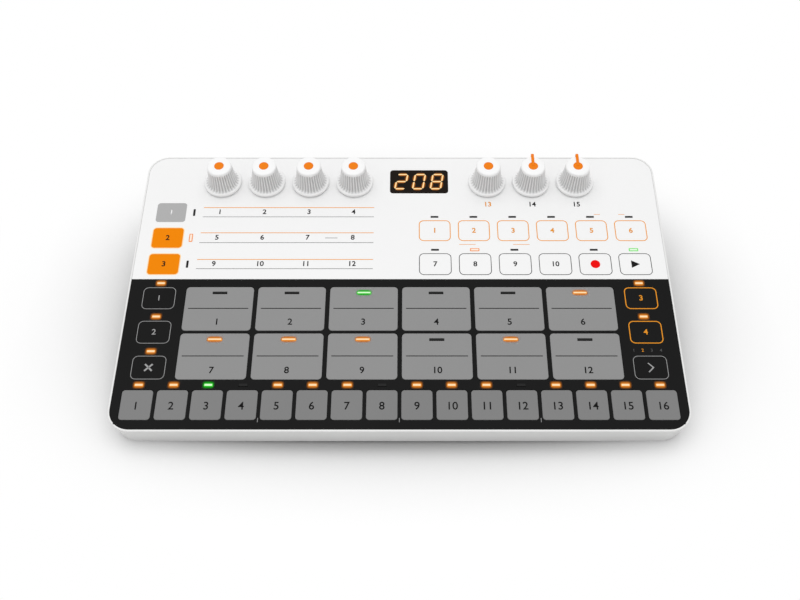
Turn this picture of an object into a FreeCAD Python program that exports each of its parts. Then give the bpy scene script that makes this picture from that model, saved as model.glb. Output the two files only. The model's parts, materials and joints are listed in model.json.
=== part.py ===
import FreeCAD, Part
import math
import os

# Drum machine: a shallow wedge-shaped case with a sloping playing surface.
# X runs to the player's right, Y to the back and Z up. The origin is under the
# middle of the case, on the surface it stands on. All sizes are millimetres.
# The sloping surface has its own directions: x, u (up the slope) and w (out of
# it), with w = 0 at the top of the case's rim and u = 0 at mid depth.

# Case
case_width = 256.0
case_depth = 150.0
front_height = 11.5
back_height = 36.6
draft_deg = 10.0
corner_radius = 10.5
wall = 2.0
rim_width = 0.9
rim_rounding = 0.4
foot_radius = 6.0
foot_height = 1.0
foot_recess = 0.6
foot_side_margin = 34.0
front_foot_margin = 17.0
back_foot_margin = 18.0

# Layers of the sloping surface, all measured down from the rim
film_sink = 0.1
film_thickness = 0.5
deck_thickness = 2.0
key_frame_thickness = 2.0
ledge_width = 2.5
ledge_thickness = 1.5
board_depth = 7.2
board_thickness = 1.6
layer_gap = 0.1

# The white half behind keeps its length, and the black half takes the rest
white_length = 73.17
split_gap = 0.1

# Twelve pads, which fill the black half between these margins
pad_columns = 6
pad_rows = 2
pad_gap_x = 2.0
pad_gap_u = 1.45
pad_side_margin = 26.7
pad_back_margin = 4.3
pad_front_margin = 5.22
pad_radius = 1.8

# Sixteen step keys along the front
step_count = 16
step_gap = 1.65
step_side_margin = 4.325
step_front_margin = 4.65
step_length = 14.4
step_radius = 1.5

# What pads and step keys share
key_gap = 0.2
key_flange = 0.45
key_flange_thickness = 0.8
key_flange_drop = 0.1
key_edge = 0.25
key_travel = 0.5
dome_gap = 0.1
dome_base_radius = 4.0
dome_top_radius = 2.5
pad_dome_offset = 9.0
mat_thickness = 1.0

# Printed touch keys, which only set where their lights are
touch_columns = 6
first_touch_x = 16.8
touch_side_margin = 14.65
touch_row_rise = (28.08, 8.57)
touch_without_light = (3, 1)
mode_key_pitch = 15.2
mode_count = 3
mode_light_margin = 25.4
side_key_margin = 14.3
side_key_pitch = 18.2
side_key_drop = 10.48
left_side_lights = 3
right_side_lights = 2

# Light guides
touch_light = (3.6, 0.9)
mode_light = (0.9, 3.9)
pad_light = (6.5, 1.0)
step_light = (3.9, 1.2)
touch_light_rise = 8.25
pad_light_margin = 3.28
step_light_margin = 2.35
light_gap = 0.1
moving_light_gap = 0.2
guide_foot_gap = 0.2

# Seven rotary controls with their knobs
knob_pitch = 22.0
knob_back_margin = 16.09
last_sound_knob_x = -23.1
sound_knob_count = 4
first_right_knob_x = 43.3
knob_height = 13.3
knob_lift = 0.5
skirt_radius = 9.2
skirt_height = 1.5
neck_radius = 6.7
neck_height = 4.6
flare_sag = 0.18
cap_radius = 5.9
cap_rounding = 0.7
flute_count = 36
flute_radius = 0.32
flute_stop = 1.2
spindle_radius = 3.0
spindle_gap = 0.05
knob_seat_gap = 0.02
marker_radius = 2.35
marker_rise = 0.12
marker_depth = 1.4
pointer_width = 1.4
pointer_reach = 7.4
pointer_rise = 0.35
bushing_radius = 3.5
bushing_top = 0.2
bushing_gap = 0.3
control_size = 12.0
control_gap = 0.2
film_hole_gap = 0.7

# Display
display_x = 9.3
display_back_margin = 15.05
display_width = 29.0
display_length = 14.5
display_radius = 1.5
display_gap = 0.1
display_flange = 1.0
display_flange_thickness = 0.8
module_margin = 0.5

# Main board and its screws
board_side_margin = 8.0
board_front_margin = 4.15
board_back_margin = 9.15
board_corner_radius = 4.0
board_screw_x = (-60.0, -11.0, 45.5)
board_screw_rise = 26.0
board_boss_radius = 2.6
board_screw_radius = 1.0
board_screw_length = 5.0
board_screw_head_radius = 2.0
board_screw_head = 1.2
mat_margin = 1.0

# Case screws, each in a post from the sloping surface to the floor
case_screw_margin = 22.0
front_screw_margin = 25.7
middle_screw_rise = 1.65
back_screw_margin = 30.0
case_boss_radius = 3.2
case_screw_radius = 1.4
case_screw_length = 7.0
case_screw_head_radius = 2.5
case_screw_head = 1.6
screw_seat_height = 2.0
screw_seat_radius = 5.0
screw_sink = 0.4
screw_gap = 0.02
boss_gap = 0.1
boss_clearance = 0.3

# Floor of the case
floor_thickness = 2.0
floor_gap = 0.2
post_radius = 2.0
board_post_x = (-84.5, -28.0, 28.0, 84.5)
board_post_margins = (13.0, 48.0)
post_gap = 0.05

# Four cells in their bay, and the door under them
cell_radius = 7.1
cell_length = 50.5
cell_nub_radius = 2.75
cell_nub = 1.2
cell_lift = 0.3
cell_pitch = 15.0
cell_gap = 0.4
bay_back_margin = 44.6
bay_wall = 1.5
bay_height = 12.0
contact_thickness = 0.5
contact_room = 3.0
contact_size = 11.0
contact_spring_radius = 3.2
contact_spring_tip = 2.0
door_margin_x = 2.0
door_margin_y = 1.5
door_gap = 0.2
door_pin_radius = 0.5
door_pin_length = 1.2
door_pin_gap = 0.05
door_grip_width = 16.0
door_grip_length = 5.0
door_grip_depth = 0.9
door_rib = 0.8
door_rib_count = 3

# Sockets along the rear wall, on a small level board
socket_board_low = 8.0
socket_board_margin = 28.0
socket_board_right = 72.0
socket_board_length = 13.4
socket_board_gap = 0.3
socket_post_x = (-80.0, 20.0, 66.0)
socket_width = 7.0
socket_length = 11.8
socket_height = 5.6
audio_x = (34.0, 54.0)
audio_bore_radius = 1.8
audio_nose_radius = 3.0
sync_x = (-38.0, -20.0)
sync_bore_radius = 1.3
sync_nose_radius = 2.5
bore_length = 12.5
nose_end_gap = 0.5
nose_gap = 0.3
usb_x = -64.0
usb_size = (8.0, 5.8, 3.0)
usb_mouth = (7.0, 4.8, 1.9)
usb_gap = 0.4
switch_margin = 10.0
switch_body = (10.0, 4.6, 4.4)
switch_lever = (3.0, 2.0)
switch_travel = 3.0
switch_lever_reach = 1.6
switch_lever_root = 2.4
switch_gap = 0.2

# Sizes that follow from the ones above
tan_tilt = (back_height - front_height) / case_depth
tilt_deg = math.degrees(math.atan(tan_tilt))
cos_tilt = math.cos(math.radians(tilt_deg))
tan_draft = math.tan(math.radians(draft_deg))
middle_height = (front_height + back_height) / 2
slope_length = case_depth / cos_tilt
overlay_width = case_width - 2 * rim_width
overlay_length = slope_length - 2 * rim_width
overlay_radius = corner_radius - rim_width
film_top = -film_sink
film_bottom = film_top - film_thickness
deck_bottom = film_bottom - deck_thickness
frame_bottom = film_top - key_frame_thickness
ledge_bottom = frame_bottom - ledge_thickness
flange_top = frame_bottom - key_flange_drop
flange_bottom = flange_top - key_flange_thickness
dome_top = flange_bottom - key_travel - dome_gap
board_top = -board_depth
board_bottom = board_top - board_thickness
mat_top = board_top + mat_thickness
floor_top = foot_height + floor_thickness
above = 5.0
through = 60.0

# Where the rows of the sloping surface lie between its ends
half_overlay_x = overlay_width / 2
half_overlay_u = overlay_length / 2
split_u = half_overlay_u - white_length
step_u = step_front_margin + step_length / 2 - half_overlay_u
step_pitch = (overlay_width - 2 * step_side_margin + step_gap) / step_count
step_width = step_pitch - step_gap
pad_pitch_x = (overlay_width - 2 * pad_side_margin + pad_gap_x) / pad_columns
pad_width = pad_pitch_x - pad_gap_x
pads_back = split_u - pad_back_margin
pads_front = step_u + step_length / 2 + pad_front_margin
pad_pitch_u = (pads_back - pads_front + pad_gap_u) / pad_rows
pad_length = pad_pitch_u - pad_gap_u
top_pad_u = pads_back - pad_length / 2
pad_light_rise = pad_length / 2 - pad_light_margin
step_light_rise = step_length / 2 + step_light_margin
touch_pitch = (half_overlay_x - touch_side_margin - first_touch_x) / (touch_columns - 1)
mode_light_x = mode_light_margin - half_overlay_x
side_key_x = half_overlay_x - side_key_margin
knob_u = half_overlay_u - knob_back_margin
display_u = half_overlay_u - display_back_margin

# Where the hidden pieces lie
board_half_width = case_width / 2 - board_side_margin
board_front_u = board_front_margin - half_overlay_u
board_back_u = half_overlay_u - board_back_margin
board_screw_u = split_u + board_screw_rise
case_screw_x = case_width / 2 - case_screw_margin
case_screw_y = (
    front_screw_margin - case_depth / 2,
    split_u * cos_tilt + middle_screw_rise,
    case_depth / 2 - back_screw_margin,
)
foot_x = case_width / 2 - foot_side_margin
front_foot_y = front_foot_margin - case_depth / 2
back_foot_y = case_depth / 2 - back_foot_margin
board_post_y = [margin - case_depth / 2 for margin in board_post_margins]
bay_middle_y = case_depth / 2 - bay_back_margin
socket_board_left = socket_board_margin - case_width / 2
switch_x = socket_board_left + switch_margin


def rim_height(y):
    """How high the rim's plane is over the ground at this depth."""
    return middle_height + y * tan_tilt


def rear_wall_y(z, inset):
    """Where the leaning rear wall is at a height, moved in by an inset."""
    return case_depth / 2 - inset - (back_height - z) * tan_draft


# The level board's place against the leaning rear wall
socket_board_top = socket_board_low + board_thickness
socket_board_back = rear_wall_y(socket_board_low, wall + socket_board_gap)
socket_board_middle_y = socket_board_back - socket_board_length / 2
socket_axis_z = socket_board_top + socket_height / 2
switch_axis_z = socket_board_top + switch_body[2] / 2

PANEL = FreeCAD.Placement(
    FreeCAD.Vector(0, 0, middle_height),
    FreeCAD.Rotation(FreeCAD.Vector(1, 0, 0), tilt_deg),
)
UP = FreeCAD.Vector(0, 0, 1)
BACK = FreeCAD.Vector(0, 1, 0)
RIGHT = FreeCAD.Vector(1, 0, 0)


def on_panel(shape):
    """Moves a shape drawn in x, u, w to its place on the sloping surface."""
    placed = shape.copy()
    placed.Placement = PANEL.multiply(shape.Placement)
    return placed


def block(x, y, width, length, low, high):
    """A box centred on x, y that runs from low to high."""
    corner = FreeCAD.Vector(x - width / 2, y - length / 2, low)
    return Part.makeBox(width, length, high - low, corner)


def disc(x, y, radius, low, high):
    """An upright cylinder on x, y that runs from low to high."""
    return Part.makeCylinder(radius, high - low, FreeCAD.Vector(x, y, low), UP)


def upright_edges(shape):
    """The edges that join the top face's corners to the bottom's."""
    found = []
    for edge in shape.Edges:
        ends = [vertex.Point for vertex in edge.Vertexes]
        if len(ends) == 2:
            run = ends[1] - ends[0]
            if abs(run.z) > 3 * max(abs(run.x), abs(run.y)):
                found.append(edge)
    return found


def plate(x, y, width, length, low, high, radius):
    """A block with its four upright edges rounded."""
    body = block(x, y, width, length, low, high)
    return body.makeFillet(radius, upright_edges(body))


def rear_hole(x, z, radius, start, end):
    """A cylinder along Y, as for a socket's bore."""
    return Part.makeCylinder(radius, end - start, FreeCAD.Vector(x, start, z), BACK)


def corner_points(inset, top_w, bottom_z):
    """Front and back corner positions of the leaning walls, above and below."""
    drop = -top_w / cos_tilt
    step = inset + drop * tan_draft
    top = []
    for side, spread in ((-1, 1 + tan_tilt * tan_draft), (1, 1 - tan_tilt * tan_draft)):
        y = side * (case_depth / 2 - step / spread)
        top.append((case_width / 2 - step, y, rim_height(y) - drop))
    bottom = []
    front = -case_depth / 2 + inset + (front_height - bottom_z) * tan_draft
    for y in (front, rear_wall_y(bottom_z, inset)):
        lean = (rim_height(y) - bottom_z) * tan_draft
        bottom.append((case_width / 2 - inset - lean, y, bottom_z))
    return top, bottom


def drafted_block(inset, top_w, bottom_z, radius):
    """The space inside the leaning walls, from a plane w = top_w to z = bottom_z."""
    rings = []
    for pair in corner_points(inset, top_w, bottom_z):
        (front_x, front_y, front_z), (back_x, back_y, back_z) = pair
        rings.append([
            FreeCAD.Vector(-front_x, front_y, front_z),
            FreeCAD.Vector(front_x, front_y, front_z),
            FreeCAD.Vector(back_x, back_y, back_z),
            FreeCAD.Vector(-back_x, back_y, back_z),
        ])
    top, bottom = rings
    outlines = [top, bottom]
    for n in range(4):
        after = (n + 1) % 4
        outlines.append([top[n], top[after], bottom[after], bottom[n]])
    faces = [Part.Face(Part.makePolygon(points + points[:1])) for points in outlines]
    body = Part.Solid(Part.Shell(faces))
    if body.Volume < 0:
        body.reverse()
    return body.makeFillet(radius, upright_edges(body))


def below_panel(w):
    """Everything under the plane at w."""
    return on_panel(block(0, 0, 2 * case_width, 2 * case_depth, w - 4 * through, w))


def overlay_half(low, high, black_half, gap):
    """One half of the flush playing surface, black at the front or white behind."""
    width = overlay_width - 2 * gap
    length = overlay_length - 2 * gap
    whole = plate(0, 0, width, length, low, high, overlay_radius - gap)
    if black_half:
        keep = block(0, split_u - slope_length / 2, case_width, slope_length, low, high)
    else:
        keep = block(0, split_u + split_gap + slope_length / 2, case_width, slope_length, low, high)
    return whole.common(keep)


def pad_places():
    """Centre of each pad, from the back left."""
    places = []
    for row in range(pad_rows):
        for column in range(pad_columns):
            x = (column - (pad_columns - 1) / 2) * pad_pitch_x
            places.append((x, top_pad_u - row * pad_pitch_u))
    return places


def step_places():
    """Centre of each step key, from the left."""
    return [((n - (step_count - 1) / 2) * step_pitch, step_u) for n in range(step_count)]


def knob_places():
    """Name, x and whether the knob has a pointer, from the left."""
    places = []
    for n in range(sound_knob_count):
        x = last_sound_knob_x - (sound_knob_count - 1 - n) * knob_pitch
        places.append((f"sound_knob_{n + 1}", x, False))
    for n, name in enumerate(("data_knob", "tempo_knob", "volume_knob")):
        places.append((name, first_right_knob_x + n * knob_pitch, n > 0))
    return places


def touch_light_places():
    """Lights over the touch keys on the white half and beside the black one."""
    places = []
    for row, rise in enumerate(touch_row_rise):
        for column in range(touch_columns):
            if (column, row) != touch_without_light:
                u = split_u + rise + touch_light_rise
                places.append((first_touch_x + column * touch_pitch, u, touch_light))
    for n in range(mode_count):
        u = split_u + touch_row_rise[1] + n * mode_key_pitch
        places.append((mode_light_x, u, mode_light))
    for side, count in ((-1, left_side_lights), (1, right_side_lights)):
        for n in range(count):
            u = split_u - side_key_drop - n * side_key_pitch + touch_light_rise
            places.append((side * side_key_x, u, step_light))
    return places


def light_places():
    """Every light guide as x, u and its size."""
    places = touch_light_places()
    for x, u in pad_places():
        places.append((x, u + pad_light_rise, pad_light))
    for x, u in step_places():
        places.append((x, u + step_light_rise, step_light))
    return places


def light_bars(low, high, gap):
    """The light guides as bars, or with a gap their slots."""
    bars = []
    for x, u, (width, length) in light_places():
        bars.append(block(x, u, width + 2 * gap, length + 2 * gap, low, high))
    return bars


def key_plate(x, u, width, length, radius):
    """A flush key: its plate, with a wider flange that the key frame holds down."""
    top = plate(x, u, width, length, flange_top, film_top, radius)
    rims = [edge for edge in top.Edges if min(v.Z for v in edge.Vertexes) > film_top - layer_gap / 2]
    top = top.makeFillet(key_edge, rims)
    flange_width = width + 2 * key_flange
    flange_length = length + 2 * key_flange
    flange = plate(x, u, flange_width, flange_length, flange_bottom, flange_top, radius)
    return top.fuse(flange).removeSplitter()


def drum_pad(x, u):
    """A pad, with a slot that slides over its fixed light guide."""
    width, length = pad_light
    slot = block(
        x, u + pad_light_rise,
        width + 2 * moving_light_gap, length + 2 * moving_light_gap,
        flange_bottom - layer_gap, above,
    )
    return key_plate(x, u, pad_width, pad_length, pad_radius).cut(slot)


def step_key(x, u):
    """One step key."""
    return key_plate(x, u, step_width, step_length, step_radius)


def key_windows():
    """The openings in the key frame, one round each key."""
    cuts = []
    sizes = [(place, pad_width, pad_length, pad_radius) for place in pad_places()]
    sizes += [(place, step_width, step_length, step_radius) for place in step_places()]
    for (x, u), width, length, radius in sizes:
        cuts.append(plate(
            x, u, width + 2 * key_gap, length + 2 * key_gap,
            frame_bottom - above, above, radius + key_gap,
        ))
    return cuts


def case_boss(y, top_w):
    """A pair of posts from the sloping surface down to the floor's screw seats."""
    low = floor_top + screw_seat_height + boss_gap
    posts = []
    for side in (-1, 1):
        posts.append(disc(side * case_screw_x, y, case_boss_radius, low, through))
    return Part.makeCompound(posts).common(below_panel(top_w))


def case_screw_places():
    """Where the case screws go up."""
    return [(side * case_screw_x, y) for y in case_screw_y for side in (-1, 1)]


def screw_holes():
    """Pilot holes for the case screws in the posts."""
    start = floor_top + screw_seat_height
    depth = case_screw_length + screw_gap
    return [disc(x, y, case_screw_radius + screw_gap, start, start + depth) for x, y in case_screw_places()]


def key_frame():
    """Black bezel round the keys, with the two front screw posts under it."""
    body = overlay_half(frame_bottom, film_top, True, split_gap)
    body = body.cut(key_windows() + light_bars(-through, above, light_gap))
    posts = case_boss(case_screw_y[0], frame_bottom)
    return on_panel(body).fuse(posts).cut(screw_holes()).removeSplitter()


def control_panel():
    """White printed film over the upper half, bonded to the case's deck."""
    body = overlay_half(film_bottom, film_top, False, split_gap)
    cuts = light_bars(-through, above, light_gap)
    for _, x, _ in knob_places():
        cuts.append(disc(x, knob_u, bushing_radius + film_hole_gap, -above, above))
    cuts.append(display_plug(display_gap, -above, above))
    return on_panel(body.cut(cuts))


def display_plug(gap, low, high):
    """The display window's outline, as a plug or the hole round it."""
    return plate(
        display_x, display_u, display_width + 2 * gap, display_length + 2 * gap,
        low, high, display_radius + gap,
    )


def display_window():
    """Smoked lens, held from behind by its flange."""
    lens = display_plug(0, deck_bottom, film_top)
    flange = display_plug(display_flange, deck_bottom - display_flange_thickness, deck_bottom)
    return on_panel(lens.fuse(flange))


def display_module():
    """Three-digit display block on the main board."""
    top = deck_bottom - display_flange_thickness - layer_gap
    return on_panel(display_plug(-module_margin, board_top, top))


def deck_ledge():
    """Shelf round the key opening that carries the key frame."""
    ring = drafted_block(wall / 2, deck_bottom + layer_gap, 0, corner_radius - wall / 2)
    slab = on_panel(block(
        0, split_u + ledge_width - slope_length / 2, case_width, slope_length,
        ledge_bottom, deck_bottom + layer_gap,
    ))
    return ring.common(slab)


def key_opening():
    """The opening in the case under the key frame."""
    back = split_u - ledge_width
    front = -overlay_length / 2 + ledge_width
    width = overlay_width - 2 * ledge_width
    return block(0, (front + back) / 2, width, back - front, ledge_bottom - layer_gap, above)


def rear_openings():
    """Holes through the rear wall for sockets and the power switch."""
    start = rear_wall_y(foot_height, 2 * wall)
    end = case_depth
    cuts = []
    for x in audio_x:
        cuts.append(rear_hole(x, socket_axis_z, audio_nose_radius + nose_gap, start, end))
    for x in sync_x:
        cuts.append(rear_hole(x, socket_axis_z, sync_nose_radius + nose_gap, start, end))
    width, _, height = usb_size
    usb_low = socket_board_top - usb_gap
    usb_high = socket_board_top + height + usb_gap
    cuts.append(block(usb_x, (start + end) / 2, width + 2 * usb_gap, end - start, usb_low, usb_high))
    cuts.append(switch_slot(start, end))
    return cuts


def switch_slot(start, end):
    """The slot that the power switch's lever slides in."""
    lever_width, lever_height = switch_lever
    low = switch_axis_z - lever_height / 2 - switch_gap
    high = switch_axis_z + lever_height / 2 + switch_gap
    width = lever_width + switch_travel + 2 * switch_gap
    middle = switch_x + switch_travel / 2
    return block(middle, (start + end) / 2, width, end - start, low, high)


def board_bosses():
    """Short bosses that the main board is screwed to."""
    return [disc(x, board_screw_u, board_boss_radius, board_top + post_gap, film_bottom) for x in board_screw_x]


def board_screw_holes():
    """Pilot holes for the board screws."""
    radius = board_screw_radius + screw_gap
    high = board_bottom + board_screw_length + screw_gap
    return [disc(x, board_screw_u, radius, board_bottom, high) for x in board_screw_x]


def upper_case():
    """White shell: deck, rim, four leaning walls, posts and the rear openings."""
    outer = drafted_block(0, 0, foot_height, corner_radius)
    top_edges = [
        edge for edge in outer.Edges
        if all(abs(PANEL.inverse().multVec(v.Point).z) < rim_rounding / 2 for v in edge.Vertexes)
    ]
    outer = outer.makeFillet(rim_rounding, top_edges)
    hollow = drafted_block(wall, deck_bottom, 0, corner_radius - wall)
    shell = outer.cut(hollow).fuse(deck_ledge())
    cuts = [overlay_half(film_bottom, above, False, 0), overlay_half(frame_bottom, above, True, 0)]
    cuts.append(overlay_half(film_bottom, above, True, 0))
    cuts.append(block(0, split_u + split_gap / 2, overlay_width, 2 * split_gap, film_bottom, above))
    cuts.append(key_opening())
    cuts.append(display_plug(display_gap, -above, above))
    for _, x, _ in knob_places():
        cuts.append(disc(x, knob_u, bushing_radius + bushing_gap, -above, above))
    cuts += light_bars(-above, above, light_gap)
    shell = shell.cut([on_panel(cut) for cut in cuts])
    for y in case_screw_y[1:]:
        shell = shell.fuse(case_boss(y, frame_bottom - layer_gap))
    shell = shell.fuse([on_panel(boss) for boss in board_bosses()])
    shell = shell.cut(screw_holes() + [on_panel(hole) for hole in board_screw_holes()])
    return shell.cut(rear_openings()).removeSplitter()


def spring_mat():
    """Silicone mat on the board, with a dome under each key and two under each pad."""
    width = 2 * (board_half_width - mat_margin)
    front = board_front_u + mat_margin
    back = split_u - ledge_width - mat_margin
    body = block(0, (front + back) / 2, width, back - front, board_top, mat_top)
    centres = step_places()
    for x, u in pad_places():
        centres += [(x - pad_dome_offset, u), (x + pad_dome_offset, u)]
    domes = []
    for x, u in centres:
        foot = FreeCAD.Vector(x, u, mat_top)
        domes.append(Part.makeCone(dome_base_radius, dome_top_radius, dome_top - mat_top, foot, UP))
    body = body.fuse(domes).cut(light_bars(-through, above, light_gap))
    holes = [disc(x, y, case_boss_radius + boss_clearance, 0, through) for x, y in case_screw_places()]
    return on_panel(body).cut(holes)


def main_board():
    """Circuit board that carries the controls, display, mat and lights."""
    middle = (board_front_u + board_back_u) / 2
    length = board_back_u - board_front_u
    body = on_panel(plate(0, middle, 2 * board_half_width, length, board_bottom, board_top, board_corner_radius))
    holes = [disc(x, y, case_boss_radius + boss_clearance, 0, through) for x, y in case_screw_places()]
    for hole in board_screw_holes():
        holes.append(on_panel(hole))
    return body.cut(holes)


def rotary_controls():
    """Seven control bodies with their threaded bushings, one under each knob."""
    group = []
    for _, x, _ in knob_places():
        body = block(x, knob_u, control_size, control_size, board_top, deck_bottom - control_gap)
        bushing = disc(x, knob_u, bushing_radius, deck_bottom - control_gap, bushing_top)
        bore = disc(x, knob_u, spindle_radius + spindle_gap, board_top + control_gap, above)
        group.append(on_panel(body.fuse(bushing).cut(bore)))
    return Part.makeCompound(group)


def knob_profile():
    """Half section of a knob: rounded skirt, hollow flare, tapering grip, soft top edge."""
    top = knob_lift + knob_height
    skirt_round = skirt_height / 2
    points = [
        FreeCAD.Vector(0, 0, knob_lift),
        FreeCAD.Vector(skirt_radius - skirt_round, 0, knob_lift),
        FreeCAD.Vector(skirt_radius, 0, knob_lift + skirt_round),
        FreeCAD.Vector(skirt_radius - skirt_round, 0, knob_lift + skirt_height),
        FreeCAD.Vector(neck_radius, 0, knob_lift + neck_height),
        FreeCAD.Vector(cap_radius, 0, top - cap_rounding),
        FreeCAD.Vector(cap_radius - cap_rounding, 0, top),
        FreeCAD.Vector(0, 0, top),
    ]
    middle = (points[3] + points[4]) * 0.5
    inward = FreeCAD.Vector(-1, 0, -1).normalize() * ((points[4] - points[3]).Length * flare_sag)
    lean = cap_rounding * (1 - math.sqrt(0.5))
    shoulder = FreeCAD.Vector(cap_radius - lean, 0, top - lean)
    edges = [
        Part.LineSegment(points[0], points[1]).toShape(),
        Part.Arc(points[1], points[2], points[3]).toShape(),
        Part.Arc(points[3], middle + inward, points[4]).toShape(),
        Part.LineSegment(points[4], points[5]).toShape(),
        Part.Arc(points[5], shoulder, points[6]).toShape(),
        Part.LineSegment(points[6], points[7]).toShape(),
        Part.LineSegment(points[7], points[0]).toShape(),
    ]
    return Part.Face(Part.Wire(edges))


def flutes():
    """Fine grooves that run up the knob's grip."""
    low = FreeCAD.Vector(neck_radius, 0, knob_lift + neck_height + flute_radius)
    high = FreeCAD.Vector(cap_radius, 0, knob_lift + knob_height - flute_stop)
    run = high - low
    cuts = []
    for n in range(flute_count):
        groove = Part.makeCylinder(flute_radius, run.Length, low, run)
        groove.rotate(FreeCAD.Vector(0, 0, 0), UP, 360.0 * n / flute_count)
        cuts.append(groove)
    return cuts


def pointer_bar(gap, low):
    """The raised rib from a knob's middle out over its edge."""
    length = pointer_reach + gap
    high = knob_lift + knob_height + pointer_rise
    return Part.makeBox(
        pointer_width + 2 * gap, length, high - low,
        FreeCAD.Vector(-pointer_width / 2 - gap, 0, low),
    )


def knob_cap(has_pointer):
    """White knob, bored for its core."""
    top = knob_lift + knob_height
    seat = top - marker_depth
    body = knob_profile().revolve(FreeCAD.Vector(0, 0, 0), UP, 360)
    cuts = flutes()
    cuts.append(disc(0, 0, spindle_radius + knob_seat_gap, 0, seat))
    cuts.append(disc(0, 0, marker_radius + knob_seat_gap, 0, top + above))
    if has_pointer:
        cuts.append(pointer_bar(knob_seat_gap, seat))
    return body.cut(cuts)


def knob_core(has_pointer):
    """Coloured core: the dot on top, its pointer if it has one, and the spindle."""
    top = knob_lift + knob_height
    seat = top - marker_depth
    spindle = disc(0, 0, spindle_radius, board_top + 2 * control_gap, seat - knob_seat_gap)
    dot = disc(0, 0, marker_radius, seat - knob_seat_gap, top + marker_rise)
    body = spindle.fuse(dot)
    if has_pointer:
        body = body.fuse(pointer_bar(0, seat + knob_seat_gap))
    return body.removeSplitter()


def light_guides():
    """Clear bars from the lights on the board up to the surface."""
    bars = light_bars(board_top + guide_foot_gap, film_top, 0)
    return Part.makeCompound([on_panel(bar) for bar in bars])


def bay_half_width():
    """Half the inside length of the battery bay."""
    return cell_length + contact_room


def bay_half_length():
    """Half the inside depth of the battery bay."""
    return cell_pitch / 2 + cell_radius + cell_gap


def door_opening(gap):
    """The opening under the cells, or with a gap the door that fills it."""
    width = 2 * (bay_half_width() - door_margin_x - gap)
    length = 2 * (bay_half_length() - door_margin_y - gap)
    return block(0, bay_middle_y, width, length, foot_height, floor_top)


def door_axis():
    """Y and Z of the door's hinge line."""
    front = bay_middle_y - bay_half_length() + door_margin_y + door_gap
    return front + floor_thickness / 2, foot_height + floor_thickness / 2


def door_pins(radius, length):
    """Pins at both ends of the hinge line, or their holes."""
    y, z = door_axis()
    reach = bay_half_width() - door_margin_x - door_gap
    start = FreeCAD.Vector(reach - door_pin_length, y, z)
    right = Part.makeCylinder(radius, door_pin_length + length, start, RIGHT)
    left = right.mirror(FreeCAD.Vector(0, 0, 0), RIGHT)
    return [left, right]


def battery_door():
    """Plate under the cells, with a round front edge, hinge pins and grip ribs."""
    y, z = door_axis()
    half = bay_half_width() - door_margin_x - door_gap
    round_edge = Part.makeCylinder(floor_thickness / 2, 2 * half, FreeCAD.Vector(-half, y, z), RIGHT)
    slab = door_opening(door_gap)
    front = block(0, y - floor_thickness, 4 * half, 2 * floor_thickness, 0, 2 * floor_top)
    body = slab.cut(front).fuse(round_edge)
    body = body.fuse(door_pins(door_pin_radius, door_pin_length))
    back = slab.BoundBox.YMax
    grooves = []
    for n in range(door_rib_count):
        place = back - 2 * (n + 1) * door_rib
        grooves.append(block(0, place, door_grip_width, door_rib, foot_height - door_rib, foot_height + door_rib / 2))
    return body.cut(grooves).removeSplitter()


def feet():
    """Four rubber feet, each set into the floor."""
    group = []
    for y in (front_foot_y, back_foot_y):
        for side in (-1, 1):
            pad = disc(side * foot_x, y, foot_radius, 0, foot_height + foot_recess)
            group.append(pad.makeFillet(foot_recess, [e for e in pad.Edges if e.BoundBox.ZMax < foot_recess]))
    return Part.makeCompound(group)


def bay_walls():
    """The rib round the cells."""
    width = 2 * bay_half_width()
    length = 2 * bay_half_length()
    high = floor_top + bay_height
    outside = block(0, bay_middle_y, width + 2 * bay_wall, length + 2 * bay_wall, floor_top, high)
    return outside.cut(block(0, bay_middle_y, width, length, 0, 2 * high))


def board_posts():
    """Posts that hold the main board up under the keys."""
    posts = [disc(x, y, post_radius, floor_top, through) for x in board_post_x for y in board_post_y]
    return Part.makeCompound(posts).common(below_panel(board_bottom - post_gap))


def lower_case():
    """Floor of the case: screw seats, posts, battery bay and door opening."""
    inside = drafted_block(wall + floor_gap, deck_bottom, foot_height, corner_radius - wall - floor_gap)
    body = inside.common(block(0, 0, case_width, case_depth, foot_height, floor_top))
    seats = []
    for x, y in case_screw_places():
        seats.append(disc(x, y, screw_seat_radius, floor_top, floor_top + screw_seat_height))
    for x in socket_post_x:
        seats.append(disc(x, socket_board_middle_y, post_radius, floor_top, socket_board_low))
    body = body.fuse(seats + [board_posts(), bay_walls()])
    cuts = [door_opening(0)] + door_pins(door_pin_radius + door_pin_gap, door_pin_length + door_gap)
    for y in (front_foot_y, back_foot_y):
        for side in (-1, 1):
            cuts.append(disc(side * foot_x, y, foot_radius, 0, foot_height + foot_recess))
    for x, y in case_screw_places():
        head_top = foot_height + screw_sink + case_screw_head
        cuts.append(disc(x, y, case_screw_head_radius + screw_gap, 0, head_top))
        cuts.append(disc(x, y, case_screw_radius + screw_gap, 0, through))
    grip_y = bay_middle_y + bay_half_length() - door_margin_y + door_grip_length / 2
    cuts.append(block(
        0, grip_y, door_grip_width, door_grip_length,
        0, foot_height + door_grip_depth,
    ))
    return body.cut(cuts).removeSplitter()


def case_screws():
    """Six case screws from below and three that hold the main board."""
    group = []
    head_low = foot_height + screw_sink
    head_top = head_low + case_screw_head
    tip = floor_top + screw_seat_height + case_screw_length
    for x, y in case_screw_places():
        head = disc(x, y, case_screw_head_radius, head_low, head_top)
        group.append(head.fuse(disc(x, y, case_screw_radius, head_top, tip)))
    for x in board_screw_x:
        head = disc(x, board_screw_u, board_screw_head_radius, board_bottom - board_screw_head, board_bottom)
        shank = disc(x, board_screw_u, board_screw_radius, board_bottom, board_bottom + board_screw_length)
        group.append(on_panel(head.fuse(shank)))
    return Part.makeCompound(group)


def cell_axes():
    """Y and Z of the two rows of cells."""
    z = floor_top + cell_lift + cell_radius
    return [(bay_middle_y + side * cell_pitch / 2, z) for side in (-1, 1)]


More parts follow.
